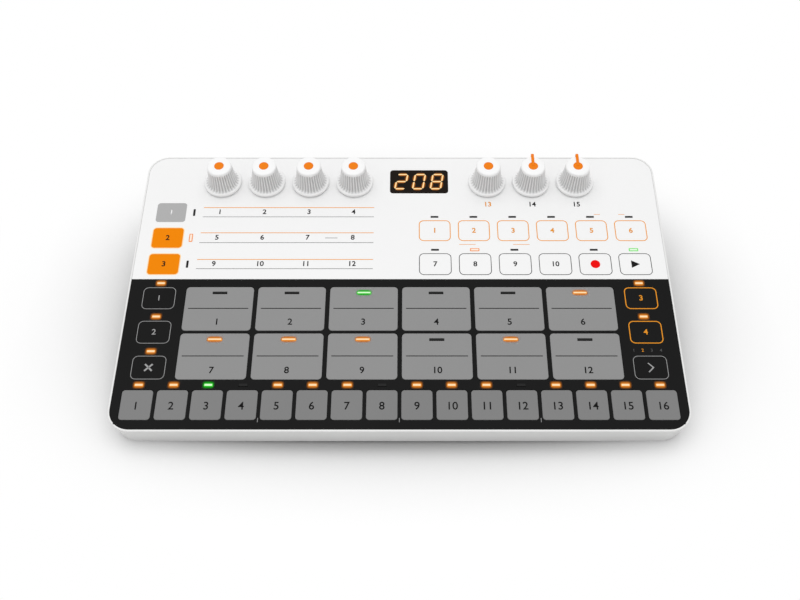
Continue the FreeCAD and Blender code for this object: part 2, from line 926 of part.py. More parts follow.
def batteries():
    """Four cells, two in line in each row."""
    group = []
    for y, z in cell_axes():
        for start in (-cell_length, 0):
            can = Part.makeCylinder(cell_radius, cell_length - cell_nub, FreeCAD.Vector(start, y, z), RIGHT)
            nub_at = FreeCAD.Vector(start + cell_length - cell_nub, y, z)
            nub = Part.makeCylinder(cell_nub_radius, cell_nub, nub_at, RIGHT)
            group.append(can.fuse(nub))
    return Part.makeCompound(group)


def battery_contacts():
    """A plate at each end of each row, with a spring cone against the cell."""
    group = []
    for y, z in cell_axes():
        for side in (-1, 1):
            outer = bay_half_width()
            middle = side * (outer - contact_thickness / 2)
            leaf = block(middle, y, contact_thickness, contact_size, floor_top + cell_lift, z + contact_size / 2)
            foot = FreeCAD.Vector(side * (outer - contact_thickness), y, z)
            reach = contact_room - contact_thickness - screw_gap
            spring = Part.makeCone(
                contact_spring_radius, contact_spring_tip, reach,
                foot, FreeCAD.Vector(-side, 0, 0),
            )
            group.append(leaf.fuse(spring))
    return Part.makeCompound(group)


def socket_board():
    """Small level board along the rear wall."""
    middle = (socket_board_left + socket_board_right) / 2
    return block(
        middle, socket_board_middle_y, socket_board_right - socket_board_left, socket_board_length,
        socket_board_low, socket_board_top,
    )


def round_socket(x, bore_radius, nose_radius):
    """A jack socket whose nose stands in the rear wall's hole."""
    front = socket_board_back
    nose_end = rear_wall_y(socket_axis_z, nose_end_gap)
    body = block(x, front - socket_length / 2, socket_width, socket_length, socket_board_top, socket_board_top + socket_height)
    nose = rear_hole(x, socket_axis_z, nose_radius, front, nose_end)
    bore = rear_hole(x, socket_axis_z, bore_radius, nose_end - bore_length, nose_end + above)
    return body.fuse(nose).cut(bore)


def usb_socket():
    """Small flat data and power socket."""
    width, length, height = usb_size
    mouth_width, mouth_depth, mouth_height = usb_mouth
    front = socket_board_back
    body = block(usb_x, front - length / 2, width, length, socket_board_top, socket_board_top + height)
    middle_z = socket_board_top + height / 2
    mouth = block(
        usb_x, front - mouth_depth / 2, mouth_width, mouth_depth,
        middle_z - mouth_height / 2, middle_z + mouth_height / 2,
    )
    return body.cut(mouth)


def switch_housing():
    """Body of the power switch, with the channel its lever slides in."""
    width, length, height = switch_body
    middle = switch_x + switch_travel / 2
    back = socket_board_back
    body = block(middle, back - length / 2, width, length, socket_board_top, socket_board_top + height)
    return body.cut(switch_slot(back - switch_lever_root - switch_gap, back + above))


def rear_sockets():
    """Everything fixed that stands on the socket board."""
    group = [round_socket(x, audio_bore_radius, audio_nose_radius) for x in audio_x]
    group += [round_socket(x, sync_bore_radius, sync_nose_radius) for x in sync_x]
    group += [usb_socket(), switch_housing()]
    return Part.makeCompound(group)


def power_switch():
    """Sliding lever of the power switch."""
    width, height = switch_lever
    start = socket_board_back - switch_lever_root
    end = rear_wall_y(switch_axis_z, 0) + switch_lever_reach
    low = switch_axis_z - height / 2
    return block(switch_x, (start + end) / 2, width, end - start, low, low + height)


def all_parts():
    """Node name and shape of every sub-part."""
    for n, (x, u) in enumerate(pad_places()):
        yield f"drum_pad_{n + 1:02d}", on_panel(drum_pad(x, u))
    for n, (x, u) in enumerate(step_places()):
        yield f"step_key_{n + 1:02d}", on_panel(step_key(x, u))
    shapes = {pointed: (knob_cap(pointed), knob_core(pointed)) for pointed in (False, True)}
    for name, x, has_pointer in knob_places():
        for ending, shape in zip(("", "_core"), shapes[has_pointer]):
            placed = shape.copy()
            placed.translate(FreeCAD.Vector(x, knob_u, 0))
            yield name + ending, on_panel(placed)
    for make in (
        upper_case, lower_case, key_frame, control_panel, display_window, display_module,
        spring_mat, main_board, rotary_controls, light_guides, socket_board, rear_sockets,
        power_switch, battery_door, batteries, battery_contacts, feet, case_screws,
    ):
        yield make.__name__, make()


os.makedirs("parts", exist_ok=True)
for node, shape in all_parts():
    shape.exportStep(f"parts/{node}.step")
    print(node, len(shape.Solids), round(shape.Volume, 1), shape.isValid())
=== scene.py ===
import json
import math

import bpy
from mathutils import Matrix, Vector


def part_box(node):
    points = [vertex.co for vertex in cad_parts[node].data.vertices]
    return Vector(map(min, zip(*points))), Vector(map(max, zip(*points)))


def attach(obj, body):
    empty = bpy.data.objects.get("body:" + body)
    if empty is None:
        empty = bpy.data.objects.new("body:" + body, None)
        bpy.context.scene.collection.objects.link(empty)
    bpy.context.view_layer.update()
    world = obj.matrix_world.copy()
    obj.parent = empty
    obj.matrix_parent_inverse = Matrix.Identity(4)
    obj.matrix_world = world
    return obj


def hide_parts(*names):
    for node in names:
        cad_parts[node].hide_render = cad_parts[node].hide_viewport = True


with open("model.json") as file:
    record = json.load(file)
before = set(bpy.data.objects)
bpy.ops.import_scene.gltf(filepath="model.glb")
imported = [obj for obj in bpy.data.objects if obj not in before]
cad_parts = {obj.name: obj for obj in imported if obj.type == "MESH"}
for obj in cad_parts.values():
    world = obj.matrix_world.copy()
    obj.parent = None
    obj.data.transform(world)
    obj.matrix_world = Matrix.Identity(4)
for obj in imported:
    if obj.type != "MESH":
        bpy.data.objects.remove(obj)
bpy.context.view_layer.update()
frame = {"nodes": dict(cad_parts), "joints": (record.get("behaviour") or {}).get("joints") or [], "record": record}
MM = 0.001

# The playing surface is a plane that slopes towards the player. Its middle and its directions
# are read from the joints: every pad moves straight into it, and every knob turns square to it.
joints = {joint["name"]: joint for joint in frame["joints"]}
surface_out = -Vector(joints["drum_pad_01_press"]["axis"])
surface_up = Vector((0, surface_out.z, -surface_out.y))
knob_foot = Vector(joints["tempo_knob_turn"]["pos_m"])
surface_middle = Vector((0, 0, knob_foot.z - surface_up.z * knob_foot.y / surface_up.y))
surface = Matrix.Translation(surface_middle) @ Matrix((
    (1, 0, 0, 0),
    (0, surface_up.y, surface_out.y, 0),
    (0, surface_up.z, surface_out.z, 0),
    (0, 0, 0, 1),
))


def on_surface(point):
    """x, u and w in metres on the sloping surface, for a point in the shared frame."""
    return surface.inverted() @ Vector(point)


def node_centre(node):
    """Middle of a CAD node, as x, u and w in metres."""
    low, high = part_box(node)
    return on_surface((Vector(low) + Vector(high)) / 2)


# Upper case: injection-moulded white ABS, in one piece with its rim and four leaning walls. The
# tool was spark-eroded, which leaves a fine even grain that takes the mirror shine off the white.
# The floor and the battery door come from the same plastic with the same grain.
def colour(code):
    """An sRGB hex colour as the linear values that a socket takes."""
    channels = [int(code[n:n + 2], 16) / 255 for n in (1, 3, 5)]
    linear = [c / 12.92 if c <= 0.04045 else ((c + 0.055) / 1.055) ** 2.4 for c in channels]
    return (*linear, 1.0)


def add_node(tree, kind, settings=(), **links):
    """Adds a shader node, sets its values, and links its named inputs to other nodes' outputs."""
    node = tree.nodes.new(kind)
    for name, value in dict(settings).items():
        if name in node.inputs:
            node.inputs[name].default_value = value
        else:
            setattr(node, name, value)
    for name, output in links.items():
        tree.links.new(output, node.inputs[name.replace("_", " ")])
    return node


def new_material(name):
    """A material with its Principled shader, and its tree."""
    material = bpy.data.materials.new(name)
    material.use_nodes = True
    return material, material.node_tree, material.node_tree.nodes["Principled BSDF"]


polish_patch = 38 * MM
grain_depth = 0.02 * MM


def moulded(name, base, deep, roughness, grain_mm, bump, specular=0.5):
    """Moulded plastic: two close tones, and an even grain with patches of a little more polish.

    The grain is drawn coarser than the real one, so that it shows."""
    material, tree, shader = new_material(name)
    place = add_node(tree, "ShaderNodeTexCoord").outputs["Object"]
    grain = add_node(tree, "ShaderNodeTexNoise", {
        "Scale": 1 / (grain_mm * MM), "Detail": 3.0, "Roughness": 0.6,
    }, Vector=place)
    wide = add_node(tree, "ShaderNodeTexNoise", {"Scale": 1 / polish_patch, "Detail": 2.0}, Vector=place)
    tone = add_node(tree, "ShaderNodeMix", {"data_type": "RGBA"}, Factor=wide.outputs["Fac"])
    tone.inputs[6].default_value = colour(base)
    tone.inputs[7].default_value = colour(deep)
    tree.links.new(tone.outputs[2], shader.inputs["Base Color"])
    shine = add_node(tree, "ShaderNodeMapRange", {
        "To Min": roughness - 0.04, "To Max": roughness + 0.05,
    }, Value=wide.outputs["Fac"])
    tree.links.new(shine.outputs[0], shader.inputs["Roughness"])
    relief = add_node(tree, "ShaderNodeBump", {
        "Strength": bump, "Distance": grain_depth,
    }, Height=grain.outputs["Fac"])
    tree.links.new(relief.outputs[0], shader.inputs["Normal"])
    shader.inputs["Specular IOR Level"].default_value = specular
    return material


def finish(node, material):
    """Gives a carried-over CAD node its material."""
    mesh = frame["nodes"][node].data
    mesh.materials.clear()
    mesh.materials.append(material)


white_abs = moulded("moulded_white_abs", "#ECECEB", "#E6E6E5", 0.42, 0.35, 0.25)
finish("upper_case", white_abs)
finish("lower_case", white_abs)
finish("battery_door", white_abs)

# Control film: white-printed polyester, bonded flush into the case's upper half. It is smoother
# than the case round it, with a soft silk finish that shows no clear reflection.
silk_film = moulded("white_printed_polyester", "#F4F4F4", "#F1F1F1", 0.36, 0.22, 0.12, 0.3)
finish("control_panel", silk_film)

# Key bezel: a black moulded frame with a window for every pad and step key. Its face has a matt
# black print that swallows most of the light, and it lies flush with the film.
black_film = moulded("black_printed_bezel", "#1A1A1A", "#161616", 0.45, 0.22, 0.15, 0.04)
finish("key_frame", black_film)

# Pads and step keys: grey keys moulded in a hard elastomer, matt and slightly soft to the eye.
# Each stands in its own window of the bezel, with its number and its line printed on top.
pad_grey = moulded("grey_pad_elastomer", "#919191", "#8D8D8D", 0.5, 0.3, 0.3, 0.15)
key_grey = moulded("grey_key_elastomer", "#818181", "#7D7D7D", 0.5, 0.3, 0.3, 0.15)
pads = [joint["child"] for joint in frame["joints"] if joint["child"].startswith("drum_pad")]
step_keys = [joint["child"] for joint in frame["joints"] if joint["child"].startswith("step_key")]
for node in pads:
    finish(node, pad_grey)
for node in step_keys:
    finish(node, key_grey)


def take(*objects):
    """Selects these objects alone, the last one active."""
    bpy.ops.object.select_all(action="DESELECT")
    for piece in objects:
        piece.select_set(True)
    bpy.context.view_layer.objects.active = objects[-1]


screen_mesh = 0.3 * MM


def ink(name, code, roughness=0.45):
    """Screen ink: one flat colour, slightly smoother and duller by turns from the screen's mesh.

    The mesh is drawn coarser than the real one, so that it shows."""
    material, tree, shader = new_material(name)
    place = add_node(tree, "ShaderNodeTexCoord").outputs["Object"]
    mesh_print = add_node(tree, "ShaderNodeTexNoise", {
        "Scale": 1 / screen_mesh, "Detail": 2.0,
    }, Vector=place)
    sheen = add_node(tree, "ShaderNodeMapRange", {
        "To Min": roughness - 0.06, "To Max": roughness + 0.06,
    }, Value=mesh_print.outputs["Fac"])
    tree.links.new(sheen.outputs[0], shader.inputs["Roughness"])
    shader.inputs["Base Color"].default_value = colour(code)
    shader.inputs["Specular IOR Level"].default_value = 0.04
    return material


film_face = -0.1 * MM
print_lift = 0.03 * MM
print_thickness = 0.05 * MM


def outline(x, u, width, length, radius=0, line=0):
    """A printed rounded outline with its line width, or a filled field where line is 0."""
    bpy.ops.object.select_all(action="DESELECT")
    bpy.ops.mesh.primitive_plane_add(size=MM)
    piece = bpy.context.object
    bpy.ops.object.mode_set(mode="EDIT")
    bpy.ops.transform.resize(value=(width, length, 1))
    if radius:
        bpy.ops.mesh.bevel(offset=radius * MM, segments=6, affect="VERTICES")
    if line:
        bpy.ops.mesh.inset(thickness=line * MM, depth=0)
        bpy.ops.mesh.delete(type="FACE")
        bpy.ops.mesh.select_all(action="SELECT")
    bpy.ops.transform.translate(value=(x * MM, u * MM, 0))
    bpy.ops.object.mode_set(mode="OBJECT")
    return piece


def polygon(x, u, points):
    """A printed shape with straight edges, its points in millimetres round x, u."""
    bpy.ops.object.select_all(action="DESELECT")
    bpy.ops.mesh.primitive_circle_add(vertices=len(points), radius=MM, fill_type="NGON")
    piece = bpy.context.object
    for vertex, (across, up) in zip(piece.data.vertices, points):
        vertex.co = ((x + across) * MM, (u + up) * MM, 0)
    bpy.ops.object.mode_set(mode="EDIT")
    bpy.ops.mesh.select_all(action="SELECT")
    bpy.ops.mesh.normals_make_consistent(inside=False)
    bpy.ops.object.mode_set(mode="OBJECT")
    if piece.data.polygons[0].normal.z < 0:
        piece.data.flip_normals()
    return piece


figure_share = 0.72


def number(text, x, u, height, weight=0.0):
    """A printed number, centred on x, u, with its figure height in millimetres."""
    bpy.ops.object.select_all(action="DESELECT")
    bpy.ops.object.text_add()
    piece = bpy.context.object
    piece.data.body = str(text)
    piece.data.align_x = "CENTER"
    piece.data.align_y = "CENTER"
    piece.data.size = height * MM / figure_share
    piece.data.offset = weight * MM
    piece.data.resolution_u = 4
    bpy.ops.object.convert(target="MESH")
    piece = bpy.context.object
    piece.data.transform(Matrix.Translation((x * MM, u * MM, 0)))
    return piece


def lay_prints(name, parts, material, body="case", lift=print_lift, thickness=print_thickness):
    """Joins flat shapes, makes them this thick and lays them on the printed faces."""
    take(*parts)
    if len(parts) > 1:
        bpy.ops.object.join()
    piece = bpy.context.object
    piece.name = piece.data.name = name
    piece.modifiers.new("ink", "SOLIDIFY").thickness = thickness
    piece.modifiers["ink"].offset = -1
    bpy.ops.object.modifier_apply(modifier="ink")
    piece.data.transform(surface @ Matrix.Translation((0, 0, film_face + lift)))
    piece.data.materials.clear()
    piece.data.materials.append(material)
    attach(piece, body)
    return piece


black_ink = ink("black_screen_ink", "#161616")
pad_figure, pad_weight, pad_number_drop = 3.3, 0.07, 7.4
pad_line, pad_line_drop = (28.0, 0.42), 0.1
step_figure, step_weight, step_number_drop = 3.8, 0.05, 0.8
for count, node in enumerate(pads, 1):
    centre = node_centre(node)
    x, u = centre.x / MM, centre.y / MM
    lay_prints(node + "_print", [
        number(count, x, u - pad_number_drop, pad_figure, pad_weight),
        outline(x, u - pad_line_drop, *pad_line),
    ], black_ink, node)
for count, node in enumerate(step_keys, 1):
    centre = node_centre(node)
    x, u = centre.x / MM, centre.y / MM
    figure = number(count, x, u - step_number_drop, step_figure, step_weight)
    lay_prints(node + "_print", [figure], black_ink, node)

# Printed keys and rules: the touch keys are only outlines, fields and numbers, screen-printed on
# the film and the bezel in orange, black and grey. Nothing stands up, so the surface wipes clean.
# Places and sizes are in millimetres from the middle of the playing surface.
orange_ink = ink("orange_screen_ink", "#EE9A2B")
bright_ink = ink("orange_field_ink", "#F28700")
grey_ink = ink("grey_screen_ink", "#A2A2A2")
red_ink = ink("red_screen_ink", "#EE0A0A")
white_ink = ink("white_screen_ink", "#F4F4F4")
first_touch_x, touch_pitch = 16.8, 19.13
touch_x = [first_touch_x + touch_pitch * n for n in range(6)]
touch_u = (30.06, 10.55)
touch_size, key_corner = (15.5, 12.3), 2.4
black_line, orange_line, grey_line = 0.32, 0.42, 0.24
touch_figure, field_figure, page_figure = 2.8, 2.9, 1.6
bold, orange_bold, grey_bold = 0.08, 0.1, 0.06
orange_parts, black_parts = [], []
for n, x in enumerate(touch_x):
    orange_parts.append(outline(x, touch_u[0], *touch_size, key_corner, orange_line))
    orange_parts.append(number(n + 1, x, touch_u[0], touch_figure, orange_bold))
    black_parts.append(outline(x, touch_u[1], *touch_size, key_corner, black_line))
for n, x in enumerate(touch_x[:4]):
    black_parts.append(number(n + 7, x, touch_u[1], touch_figure, bold))
play_triangle = [(-1.9, -2.1), (2.2, 0), (-1.9, 2.1)]
black_parts.append(polygon(touch_x[5], touch_u[1], play_triangle))

rule_left, rule_right = -97.3, -13.0
rule_middle, rule_span = (rule_left + rule_right) / 2, rule_right - rule_left
orange_rule, black_rule, dash_rule = 0.36, 0.22, 0.25
rule_rows = ((43.98, 38.33), (28.76, 22.94), (13.22, 7.93))
knob_pitch, first_sound_x, first_right_x = 22, -89.1, 43.3
for row, (upper, lower) in enumerate(rule_rows):
    orange_parts.append(outline(rule_middle, upper, rule_span, orange_rule))
    black_parts.append(outline(rule_middle, lower, rule_span, black_rule))
    for n in range(4):
        x, u = first_sound_x + knob_pitch * n, (upper + lower) / 2 + 0.1
        black_parts.append(number(4 * row + n + 1, x, u, touch_figure, bold))
lone_rule_x, lone_rule_u, lone_rule_span = -33.5, 25.72, 6.0
black_parts.append(outline(lone_rule_x, lone_rule_u, lone_rule_span, black_rule))
dashes = ((28.5, 36.5, 21.91), (54.6, 62.6, 21.91), (95.4, 98.4, 39.8), (107.4, 110.4, 39.8))
for left, right, u in dashes:
    orange_parts.append(outline((left + right) / 2, u, right - left, dash_rule))
right_label_u = 45.9
right_labels = [
    number(13 + n, first_right_x + knob_pitch * n, right_label_u, touch_figure, bold) for n in range(3)
]
orange_parts.append(right_labels[0])
black_parts += right_labels[1:]
lay_prints("orange_print", orange_parts, orange_ink)
lay_prints("black_print", black_parts, black_ink)
record_across, record_radius = 4.6, 2.29
record_disc = outline(touch_x[4], touch_u[1], record_across, record_across, record_radius)
lay_prints("record_print", [record_disc], red_ink)

# Each mode key's field, edge and grey area: width, length and corner, and the edge's line.
mode_field, mode_edge, mode_grey = (14.7, 11.6, 1.6), (15.5, 12.4, 2.0, 0.4), (14.5, 11.5, 1.5)
mode_x, mode_pitch = -113.0, 15.2
mode_u = [touch_u[1] + mode_pitch * n for n in range(3)]
second_lift = print_lift + print_thickness
fields = [outline(mode_x, u, *mode_field) for u in mode_u[:2]]
lay_prints("orange_fields", fields, bright_ink)
edges = [outline(mode_x, u, *mode_edge) for u in mode_u[:2]]
lay_prints("lit_field_edges", edges, ink("pale_orange_edge_ink", "#FFDCA6"))
lay_prints("grey_field", [outline(mode_x, mode_u[2], *mode_grey)], ink("grey_field_ink", "#B0B0B0"))
mode_numbers = [number(3 - n, mode_x, u, field_figure, bold) for n, u in enumerate(mode_u)]
lay_prints("grey_field_number", mode_numbers[2:], white_ink, lift=second_lift)
lay_prints("orange_field_numbers", mode_numbers[:2], black_ink, lift=second_lift)

side_x, side_size = 112.8, (15.2, 11.8)
side_u = [-8.5, -26.7, -44.9]
page_x, page_u = (106.2, 110.2, 114.3, 118.5), -36.2
side_orange = [outline(side_x, u, *side_size, key_corner, orange_line) for u in side_u[:2]]
side_orange += [number(n + 3, side_x, side_u[n], field_figure, bold) for n in range(2)]
side_orange.append(number(2, page_x[1], page_u, page_figure))
lay_prints("side_orange_print", side_orange, orange_ink)
side_grey = [outline(-side_x, u, *side_size, key_corner, grey_line) for u in side_u]
side_grey.append(outline(side_x, side_u[2], *side_size, key_corner, grey_line))
side_grey += [number(n + 1, -side_x, side_u[n], field_figure, grey_bold) for n in range(2)]
arrow_head = [(-1.3, -2.2), (-0.8, -2.4), (1.6, 0), (-0.8, 2.4), (-1.3, 2.2), (0.8, 0)]
side_grey.append(polygon(side_x, side_u[2], arrow_head))
arm, stroke = 1.7, 0.28
for turn in (1, -1):
    side_grey.append(polygon(-side_x, side_u[2], [
        (-arm - stroke * turn, (-arm + stroke * turn) * turn),
        (-arm + stroke * turn, (-arm - stroke * turn) * turn),
        (arm + stroke * turn, (arm - stroke * turn) * turn),
        (arm - stroke * turn, (arm + stroke * turn) * turn),
    ]))
lay_prints("side_grey_print", side_grey, grey_ink)
page_numbers = [number(n, page_x[n - 1], page_u, page_figure) for n in (1, 3, 4)]
lay_prints("page_print", page_numbers, ink("dark_grey_screen_ink", "#5A5A5A"))
bar_pitch, bar_mark_u, bar_mark = 61.8, -70.6, (0.32, 2.0)
bar_marks = [outline(bar_pitch * side, bar_mark_u, *bar_mark) for side in (-1, 0, 1)]
lay_prints("bar_marks", bar_marks, ink("mid_grey_screen_ink", "#8A8A8A"))

# Knobs: moulded white ABS, with a wide smooth skirt and a tapering grip of fine flutes that
# gives the fingers hold. A coloured core shows as a dot on top and carries the spindle.
# Semi-gloss lets the ridges catch light, and the grooves carry painted shade: their colour is darkened where the
# flutes dip.
knob_abs = moulded("knob_white_abs", "#F8F8F8", "#F5F5F5", 0.34, 0.5, 0.08, 0.4)
tree = knob_abs.node_tree
# Painted shade: the knob's colour darkens towards #B4B4B4 where the flutes dip, read from the groove depth each
# vertex keeps.
depth = add_node(tree, "ShaderNodeAttribute", {"attribute_name": "groove"})
groove_shade_share = add_node(tree, "ShaderNodeMapRange", {"To Max": 0.7}, Value=depth.outputs["Fac"])
shader = tree.nodes["Principled BSDF"]
plain_tone = shader.inputs["Base Color"].links[0].from_socket
groove_painted_shade = add_node(tree, "ShaderNodeMix", {"data_type": "RGBA"}, Factor=groove_shade_share.outputs[0])
tree.links.new(plain_tone, groove_painted_shade.inputs[6])
groove_painted_shade.inputs[7].default_value = colour("#B4B4B4")
tree.links.new(groove_painted_shade.outputs[2], shader.inputs["Base Color"])
core_orange = moulded("orange_core_abs", "#F28214", "#ED7D10", 0.4, 0.4, 0.1, 0.08)
flutes, facets, flute_depth, flute_sharpness = 30, 8, 0.75, 0.8
hair = 0.01 * MM
skirt_rings = [(8.7, 0.5), (9.1, 0.68), (9.2, 1.0), (9.2, 1.55), (9.05, 1.85), (8.7, 2.0)]
flare_rings = [(8.2, 2.05), (7.7, 2.3), (7.35, 2.8), (7.15, 3.5)]
grip_rings = [(6.95, 4.6), (6.7, 6.4), (6.4, 9.0), (6.12, 11.6), (6.02, 12.6)]
cap_rings = [(5.96, 13.0), (5.82, 13.4), (5.55, 13.67), (5.2, 13.8), (2.37, 13.8), (2.37, 12.6)]
core_rings = [(3.0, -6.8), (3.0, 12.3), (2.35, 12.31), (2.35, 13.8), (2.25, 13.9), (2.0, 13.92)]
pointer_size, pointer_middle = (1.4, 7.4, 1.5), (0, 3.7 * MM, 13.4 * MM)


def turned(name, rings, count):
    """A round solid grown ring by ring from its bottom disc, then closed on top."""
    bpy.ops.object.select_all(action="DESELECT")
    first_radius, first_height = rings[0]
    bpy.ops.mesh.primitive_circle_add(
        vertices=count, radius=first_radius * MM, fill_type="NGON", location=(0, 0, 0),
    )
    piece = bpy.context.object
    piece.name = piece.data.name = name
    bpy.ops.object.mode_set(mode="EDIT")
    bpy.ops.transform.translate(value=(0, 0, first_height * MM))
    for (radius, height), (last_radius, last_height) in zip(rings[1:], rings):
        step = (0, 0, (height - last_height) * MM)
        widen = radius / last_radius
        bpy.ops.mesh.extrude_region_move(TRANSFORM_OT_translate={"value": step})
        bpy.ops.transform.resize(value=(widen, widen, 1), center_override=(0, 0, 0))
    bpy.ops.mesh.select_all(action="SELECT")
    bpy.ops.mesh.normals_make_consistent(inside=False)
    bpy.ops.object.mode_set(mode="OBJECT")
    return piece


def knob(name):
    """One fluted knob, standing on the surface's origin, with the depth of its grooves kept for their painted
    shade.
    """
    piece = turned(name, skirt_rings + flare_rings + grip_rings + cap_rings, flutes * facets)
    low, high = flare_rings[0][1] * MM, grip_rings[-1][1] * MM
    groove = piece.data.attributes.new("groove", "FLOAT", "POINT")
    for vertex in piece.data.vertices:
        if low - hair < vertex.co.z < high - hair:
            turn = math.atan2(vertex.co.y, vertex.co.x) * flutes / (2 * math.pi)
            dip = (0.5 + 0.5 * math.cos(2 * math.pi * turn)) ** flute_sharpness
            reach = math.hypot(vertex.co.x, vertex.co.y)
            scale = (reach - flute_depth * MM * dip) / reach
            vertex.co.x *= scale
            vertex.co.y *= scale
            groove.data[vertex.index].value = dip
    take(piece)
    bpy.ops.object.shade_smooth_by_angle(angle=math.radians(50))
    return piece


def core(name, has_pointer):
    """The dot on top of a knob with its spindle, and on two knobs the raised pointer."""
    piece = turned(name, core_rings, 48)
    if has_pointer:
        bpy.ops.object.select_all(action="DESELECT")
        bpy.ops.mesh.primitive_cube_add(size=MM)
        bar = bpy.context.object
        bpy.ops.object.mode_set(mode="EDIT")
        bpy.ops.transform.resize(value=pointer_size)
        bpy.ops.transform.translate(value=pointer_middle)
        bpy.ops.mesh.bevel(offset=0.2 * MM, segments=3)
        bpy.ops.object.mode_set(mode="OBJECT")
        take(bar, piece)
        bpy.ops.object.join()
        piece = bpy.context.object
    take(piece)
    bpy.ops.object.shade_smooth_by_angle(angle=math.radians(40))
    return piece


for joint in frame["joints"]:
    node = joint["child"]
    if not node.endswith("_knob") and not node.startswith("sound_knob"):
        continue
    foot = on_surface(joint["pos_m"])
    place = surface @ Matrix.Translation((foot.x, foot.y, 0))
    has_pointer = node in ("tempo_knob", "volume_knob")
    for piece, stands_for, material, slot in (
        (knob(node + "_cap"), node, knob_abs, "knob_white"),
        (core(node + "_insert", has_pointer), node + "_core", core_orange, "orange_core"),
    ):
        piece.data.transform(place)
        piece.data.materials.clear()
        piece.data.materials.append(material)
        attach(piece, node)
        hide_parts(stands_for)

# Lights: clear acrylic guides that end flush with the surface. Where the lamp below is off they
# look smoked; where it is on, the bar is pale, and a painted glow round it stands for its light
# spilling onto the print.
# Each light is a bar's x, u, width and length in millimetres, and its state.
def lamp(name, code):
    """A lit face: its colour as emission, with a faint mottle of the diffusing film."""
    material, tree, shader = new_material(name)
    place = add_node(tree, "ShaderNodeTexCoord").outputs["Object"]
    mottle = add_node(tree, "ShaderNodeTexNoise", {"Scale": 1 / (0.6 * MM)}, Vector=place)
    level = add_node(tree, "ShaderNodeMapRange", {
        "To Min": 0.92, "To Max": 1.05,
    }, Value=mottle.outputs["Fac"])
    tree.links.new(level.outputs[0], shader.inputs["Emission Strength"])
    shader.inputs["Base Color"].default_value = (0, 0, 0, 1)
    shader.inputs["Emission Color"].default_value = colour(code)
    shader.inputs["Specular IOR Level"].default_value = 0.1
    return material


def glow(name, code, strength, edge_x, edge_u):
    """Painted light that spills round a lit bar: strongest in the middle of the halo, gone at its edge."""
    material, tree, shader = new_material(name)
    place = add_node(tree, "ShaderNodeTexCoord").outputs["UV"]
    across = add_node(tree, "ShaderNodeSeparateXYZ", Vector=place)
    reach = []
    for axis, edge in (("X", edge_x), ("Y", edge_u)):
        off = add_node(tree, "ShaderNodeMath", {"operation": "SUBTRACT"})
        tree.links.new(across.outputs[axis], off.inputs[0])
        off.inputs[1].default_value = 0.5
        size = add_node(tree, "ShaderNodeMath", {"operation": "ABSOLUTE"})
        tree.links.new(off.outputs[0], size.inputs[0])
        ramp = add_node(tree, "ShaderNodeMapRange", {
            "interpolation_type": "SMOOTHERSTEP", "From Min": 0.5, "From Max": 0.5 - edge,
        }, Value=size.outputs[0])
        reach.append(ramp.outputs[0])
    both = add_node(tree, "ShaderNodeMath", {"operation": "MULTIPLY"})
    tree.links.new(reach[0], both.inputs[0])
    tree.links.new(reach[1], both.inputs[1])
    tree.links.new(both.outputs[0], shader.inputs["Alpha"])
    shader.inputs["Base Color"].default_value = (0, 0, 0, 1)
    shader.inputs["Emission Color"].default_value = colour(code)
    shader.inputs["Emission Strength"].default_value = strength
    shader.inputs["Specular IOR Level"].default_value = 0
    return material


touch_light, mode_light, pad_light, step_light = (3.6, 0.9), (0.9, 3.9), (6.5, 1.0), (3.9, 1.2)
touch_light_rise, pad_light_rise, step_light_rise = 8.25, 8.5, 9.55
mode_light_x = -101.7
upper_states = ("off",) * 6
lower_states = ("off", "orange_edge", "off", None, "off", "green_edge")
mode_states = ("off", "orange_edge", "off")
pad_states = (
    "off", "off", "green", "off", "off", "orange",
    "orange", "orange", "orange", "off", "orange", "off",
)
step_states = ["orange"] * 16
step_states[2] = "green"
for n in (3, 7, 11):
    step_states[n] = "off"
lights = []
for u, states in zip(touch_u, (upper_states, lower_states)):
    lights += [(x, u + touch_light_rise, *touch_light, state) for x, state in zip(touch_x, states) if state]
lights += [(mode_light_x, u, *mode_light, state) for u, state in zip(mode_u, mode_states)]
lights += [(-side_x, u + touch_light_rise, *step_light, "orange") for u in side_u]
lights += [(side_x, u + touch_light_rise, *step_light, "orange") for u in side_u[:2]]
for nodes, rise, size, states in (
    (pads, pad_light_rise, pad_light, pad_states),
    (step_keys, step_light_rise, step_light, step_states),
):
    for node, state in zip(nodes, states):
        centre = node_centre(node) / MM
        lights.append((centre.x, centre.y + rise, *size, state))

faces = {
    "off": moulded("smoked_light_guide", "#282828", "#242424", 0.4, 0.4, 0.05, 0.04),
    "orange": lamp("lit_orange_guide", "#FFA23C"),
    "green": lamp("lit_green_guide", "#5CF04E"),
    "orange_edge": lamp("orange_guide_edge", "#F5924A"),
    "green_edge": lamp("green_guide_edge", "#66E456"),
}
guide_depth, guide_corner = 6.9 * MM, 0.2
guide_lift, middle_lift, ring_lift, halo_lift = 0.08 * MM, 0.12 * MM, 0.1 * MM, 0.05 * MM
ring_margin_x, ring_margin_u, ring_corner, ring_line = 0.45, 0.4, 0.4, 0.42
halo_margin_x, halo_margin_u, halo_thickness = 1.2, 1.65, 0.02 * MM
for state, material in faces.items():
    bars = [outline(*light[:4], guide_corner) for light in lights if light[4] == state]
    guides = lay_prints(
        "light_guides_" + state, bars, material,
        lift=guide_lift, thickness=guide_depth,
    )
    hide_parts("light_guides")
for state, code, inset in (
    ("orange", "#FFE2B4", 0.3), ("green", "#DDFFD4", 0.3),
    ("orange_edge", "#FFF0E2", 0.0), ("green_edge", "#E6FBE2", 0.0),
):
    middles = [
        outline(x, u, width - 2 * inset, length - inset)
        for x, u, width, length, kind in lights if kind == state
    ]
    lay_prints(state + "_light_middles", middles, lamp(state + "_middle", code), lift=middle_lift)
for state in ("orange_edge", "green_edge"):
    rings = [
        outline(x, u, width + 2 * ring_margin_x, length + 2 * ring_margin_u, ring_corner, ring_line)
        for x, u, width, length, kind in lights if kind == state
    ]
    lay_prints(state + "_light_rings", rings, faces[state], lift=ring_lift)
